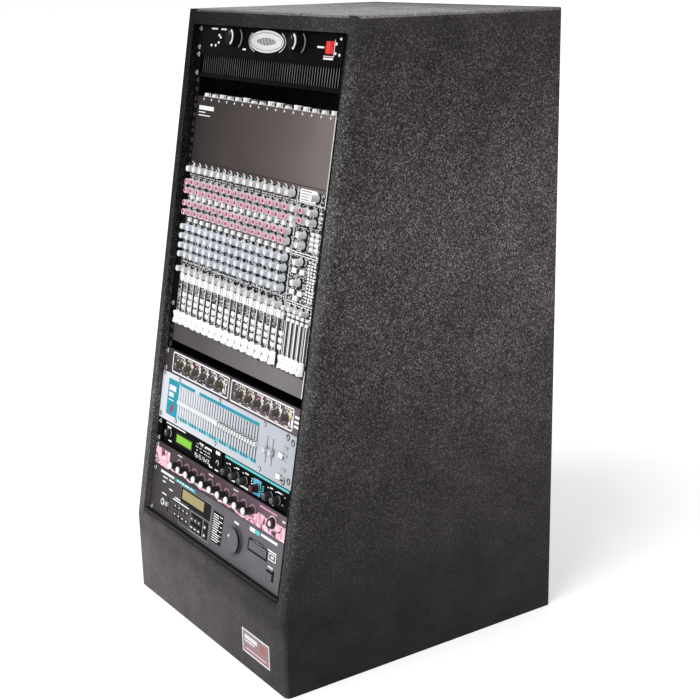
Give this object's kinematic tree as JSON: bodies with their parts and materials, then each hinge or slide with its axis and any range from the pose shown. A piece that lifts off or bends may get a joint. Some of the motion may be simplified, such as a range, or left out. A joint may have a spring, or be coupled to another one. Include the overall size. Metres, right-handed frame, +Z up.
{
  "type": "carpeted studio rack",
  "caption": "Slanted carpeted cabinet filled with studio gear: mixing desk, power amplifier, compressor, graphic equalizer, effects units, sound module and sampler.",
  "frame": {"origin": "The origin is on the floor, in the middle of the base's width and depth.", "axes": "+Z is up, -Y is the front that the gear faces, and +X is to the right for someone who faces the gear."},
  "size_m": [0.537, 0.566, 1.0637],
  "materials": {
    "carpeted_plywood": "charcoal carpet with pale flecks, glued over plywood",
    "black_metal": "satin black",
    "dark_panel": "dark grey satin with pale printed lines",
    "desk_panel": "warm dark grey satin",
    "desk_case": "dark grey satin",
    "silver": "satin",
    "pale_panel": "pale blue grey satin",
    "pink_panel": "pink and black print on satin paint",
    "black_plastic": "black",
    "grey_plastic": "mid grey",
    "white_plastic": "white",
    "red_plastic": "red",
    "pink_tips": "dark knobs with pink tips",
    "blue_grey_plastic": "dark knobs with blue and grey tips"
  },
  "bodies": {
    "rack": {"left_side_panel": "carpeted_plywood", "right_side_panel": "carpeted_plywood", "top_panel": "carpeted_plywood", "base_panel": "carpeted_plywood", "kick_panel": "carpeted_plywood", "badge_plate": "silver", "amp_oval_plate": "silver", "left_rack_rail": "black_metal", "right_rack_rail": "black_metal", "amp_case": "black_metal", "amp_front_panel": "black_metal", "amp_fin_grille": "black_metal", "mixer_left_ear": "black_metal", "mixer_right_ear": "black_metal", "compressor_case": "black_metal", "equalizer_case": "black_metal", "half_rack_tray": "black_metal", "effects_unit": "black_metal", "tone_unit": "black_metal", "module_case": "black_metal", "sampler_case": "black_metal", "mixer_jack_pod": "desk_panel", "mixer_control_panel": "desk_panel", "mixer_case": "desk_case", "mixer_trim_knobs": "white_plastic", "mixer_master_knobs": "white_plastic", "mixer_aux_knobs": "pink_tips", "mixer_eq_and_pan_knobs": "blue_grey_plastic", "compressor_front_panel": "dark_panel", "sampler_front_panel": "dark_panel", "equalizer_front_panel": "pale_panel", "equalizer_band_sliders": "grey_plastic", "module_front_panel": "pink_panel"},
    "mixer_channel_fader_01": {"mixer_channel_fader_01": "white_plastic"},
    "mixer_channel_fader_02": {"mixer_channel_fader_02": "white_plastic"},
    "mixer_channel_fader_03": {"mixer_channel_fader_03": "white_plastic"},
    "mixer_channel_fader_04": {"mixer_channel_fader_04": "white_plastic"},
    "mixer_channel_fader_05": {"mixer_channel_fader_05": "white_plastic"},
    "mixer_channel_fader_06": {"mixer_channel_fader_06": "white_plastic"},
    "mixer_channel_fader_07": {"mixer_channel_fader_07": "white_plastic"},
    "mixer_channel_fader_08": {"mixer_channel_fader_08": "white_plastic"},
    "mixer_channel_fader_09": {"mixer_channel_fader_09": "white_plastic"},
    "mixer_channel_fader_10": {"mixer_channel_fader_10": "white_plastic"},
    "mixer_channel_fader_11": {"mixer_channel_fader_11": "white_plastic"},
    "mixer_channel_fader_12": {"mixer_channel_fader_12": "white_plastic"},
    "mixer_channel_fader_13": {"mixer_channel_fader_13": "white_plastic"},
    "mixer_channel_fader_14": {"mixer_channel_fader_14": "white_plastic"},
    "mixer_channel_fader_15": {"mixer_channel_fader_15": "white_plastic"},
    "mixer_channel_fader_16": {"mixer_channel_fader_16": "white_plastic"},
    "mixer_group_fader_1": {"mixer_group_fader_1": "white_plastic"},
    "mixer_group_fader_2": {"mixer_group_fader_2": "white_plastic"},
    "mixer_group_fader_3": {"mixer_group_fader_3": "white_plastic"},
    "mixer_group_fader_4": {"mixer_group_fader_4": "white_plastic"},
    "mixer_main_fader": {"mixer_main_fader": "white_plastic"},
    "equalizer_gain_slider": {"equalizer_gain_slider": "grey_plastic"},
    "equalizer_filter_slider": {"equalizer_filter_slider": "grey_plastic"},
    "amp_left_level_knob": {"amp_left_level_knob": "black_plastic"},
    "amp_right_level_knob": {"amp_right_level_knob": "black_plastic"},
    "amp_power_rocker": {"amp_power_rocker": "red_plastic"},
    "sampler_jog_dial": {"sampler_jog_dial": "dark_panel"}
  },
  "joints": [
    {"name": "mixer_channel_fader_01_slide", "type": "slide", "parent": "rack", "child": "mixer_channel_fader_01", "axis": [0, 0.1788, 0.9839], "range_m": [0, 0.06]},
    {"name": "mixer_channel_fader_02_slide", "type": "slide", "parent": "rack", "child": "mixer_channel_fader_02", "axis": [0, 0.1788, 0.9839], "range_m": [0, 0.06]},
    {"name": "mixer_channel_fader_03_slide", "type": "slide", "parent": "rack", "child": "mixer_channel_fader_03", "axis": [0, 0.1788, 0.9839], "range_m": [0, 0.06]},
    {"name": "mixer_channel_fader_04_slide", "type": "slide", "parent": "rack", "child": "mixer_channel_fader_04", "axis": [0, 0.1788, 0.9839], "range_m": [0, 0.06]},
    {"name": "mixer_channel_fader_05_slide", "type": "slide", "parent": "rack", "child": "mixer_channel_fader_05", "axis": [0, 0.1788, 0.9839], "range_m": [0, 0.06]},
    {"name": "mixer_channel_fader_06_slide", "type": "slide", "parent": "rack", "child": "mixer_channel_fader_06", "axis": [0, 0.1788, 0.9839], "range_m": [0, 0.06]},
    {"name": "mixer_channel_fader_07_slide", "type": "slide", "parent": "rack", "child": "mixer_channel_fader_07", "axis": [0, 0.1788, 0.9839], "range_m": [0, 0.06]},
    {"name": "mixer_channel_fader_08_slide", "type": "slide", "parent": "rack", "child": "mixer_channel_fader_08", "axis": [0, 0.1788, 0.9839], "range_m": [0, 0.06]},
    {"name": "mixer_channel_fader_09_slide", "type": "slide", "parent": "rack", "child": "mixer_channel_fader_09", "axis": [0, 0.1788, 0.9839], "range_m": [0, 0.06]},
    {"name": "mixer_channel_fader_10_slide", "type": "slide", "parent": "rack", "child": "mixer_channel_fader_10", "axis": [0, 0.1788, 0.9839], "range_m": [0, 0.06]},
    {"name": "mixer_channel_fader_11_slide", "type": "slide", "parent": "rack", "child": "mixer_channel_fader_11", "axis": [0, 0.1788, 0.9839], "range_m": [0, 0.06]},
    {"name": "mixer_channel_fader_12_slide", "type": "slide", "parent": "rack", "child": "mixer_channel_fader_12", "axis": [0, 0.1788, 0.9839], "range_m": [0, 0.06]},
    {"name": "mixer_channel_fader_13_slide", "type": "slide", "parent": "rack", "child": "mixer_channel_fader_13", "axis": [0, 0.1788, 0.9839], "range_m": [0, 0.06]},
    {"name": "mixer_channel_fader_14_slide", "type": "slide", "parent": "rack", "child": "mixer_channel_fader_14", "axis": [0, 0.1788, 0.9839], "range_m": [0, 0.06]},
    {"name": "mixer_channel_fader_15_slide", "type": "slide", "parent": "rack", "child": "mixer_channel_fader_15", "axis": [0, 0.1788, 0.9839], "range_m": [0, 0.06]},
    {"name": "mixer_channel_fader_16_slide", "type": "slide", "parent": "rack", "child": "mixer_channel_fader_16", "axis": [0, 0.1788, 0.9839], "range_m": [0, 0.06]},
    {"name": "mixer_group_fader_1_slide", "type": "slide", "parent": "rack", "child": "mixer_group_fader_1", "axis": [0, 0.1788, 0.9839], "range_m": [0, 0.06]},
    {"name": "mixer_group_fader_2_slide", "type": "slide", "parent": "rack", "child": "mixer_group_fader_2", "axis": [0, 0.1788, 0.9839], "range_m": [0, 0.06]},
    {"name": "mixer_group_fader_3_slide", "type": "slide", "parent": "rack", "child": "mixer_group_fader_3", "axis": [0, 0.1788, 0.9839], "range_m": [0, 0.06]},
    {"name": "mixer_group_fader_4_slide", "type": "slide", "parent": "rack", "child": "mixer_group_fader_4", "axis": [0, 0.1788, 0.9839], "range_m": [0, 0.06]},
    {"name": "mixer_main_fader_slide", "type": "slide", "parent": "rack", "child": "mixer_main_fader", "axis": [0, 0.1788, 0.9839], "range_m": [0, 0.06]},
    {"name": "equalizer_gain_slider_slide", "type": "slide", "parent": "rack", "child": "equalizer_gain_slider", "axis": [0, 0.1788, 0.9839], "range_m": [-0.02, 0.02]},
    {"name": "equalizer_filter_slider_slide", "type": "slide", "parent": "rack", "child": "equalizer_filter_slider", "axis": [0, 0.1788, 0.9839], "range_m": [-0.02, 0.02]},
    {"name": "amp_left_level_knob_turn", "type": "hinge", "parent": "rack", "child": "amp_left_level_knob", "pos_m": [-0.0955, -0.11499, 1.01835], "axis": [0, -0.9839, 0.1788], "range_deg": [-150, 150]},
    {"name": "amp_right_level_knob_turn", "type": "hinge", "parent": "rack", "child": "amp_right_level_knob", "pos_m": [0.1035, -0.11499, 1.01835], "axis": [0, -0.9839, 0.1788], "range_deg": [-150, 150]},
    {"name": "amp_power_rocker_tilt", "type": "hinge", "parent": "rack", "child": "amp_power_rocker", "pos_m": [0.185, -0.11263, 1.01456], "axis": [0, 0.1788, 0.9839], "range_deg": [0, 14]},
    {"name": "sampler_jog_dial_turn", "type": "hinge", "parent": "rack", "child": "sampler_jog_dial", "pos_m": [0.078, -0.26105, 0.20627], "axis": [0, -0.9839, 0.1788], "continuous": true}
  ]
}
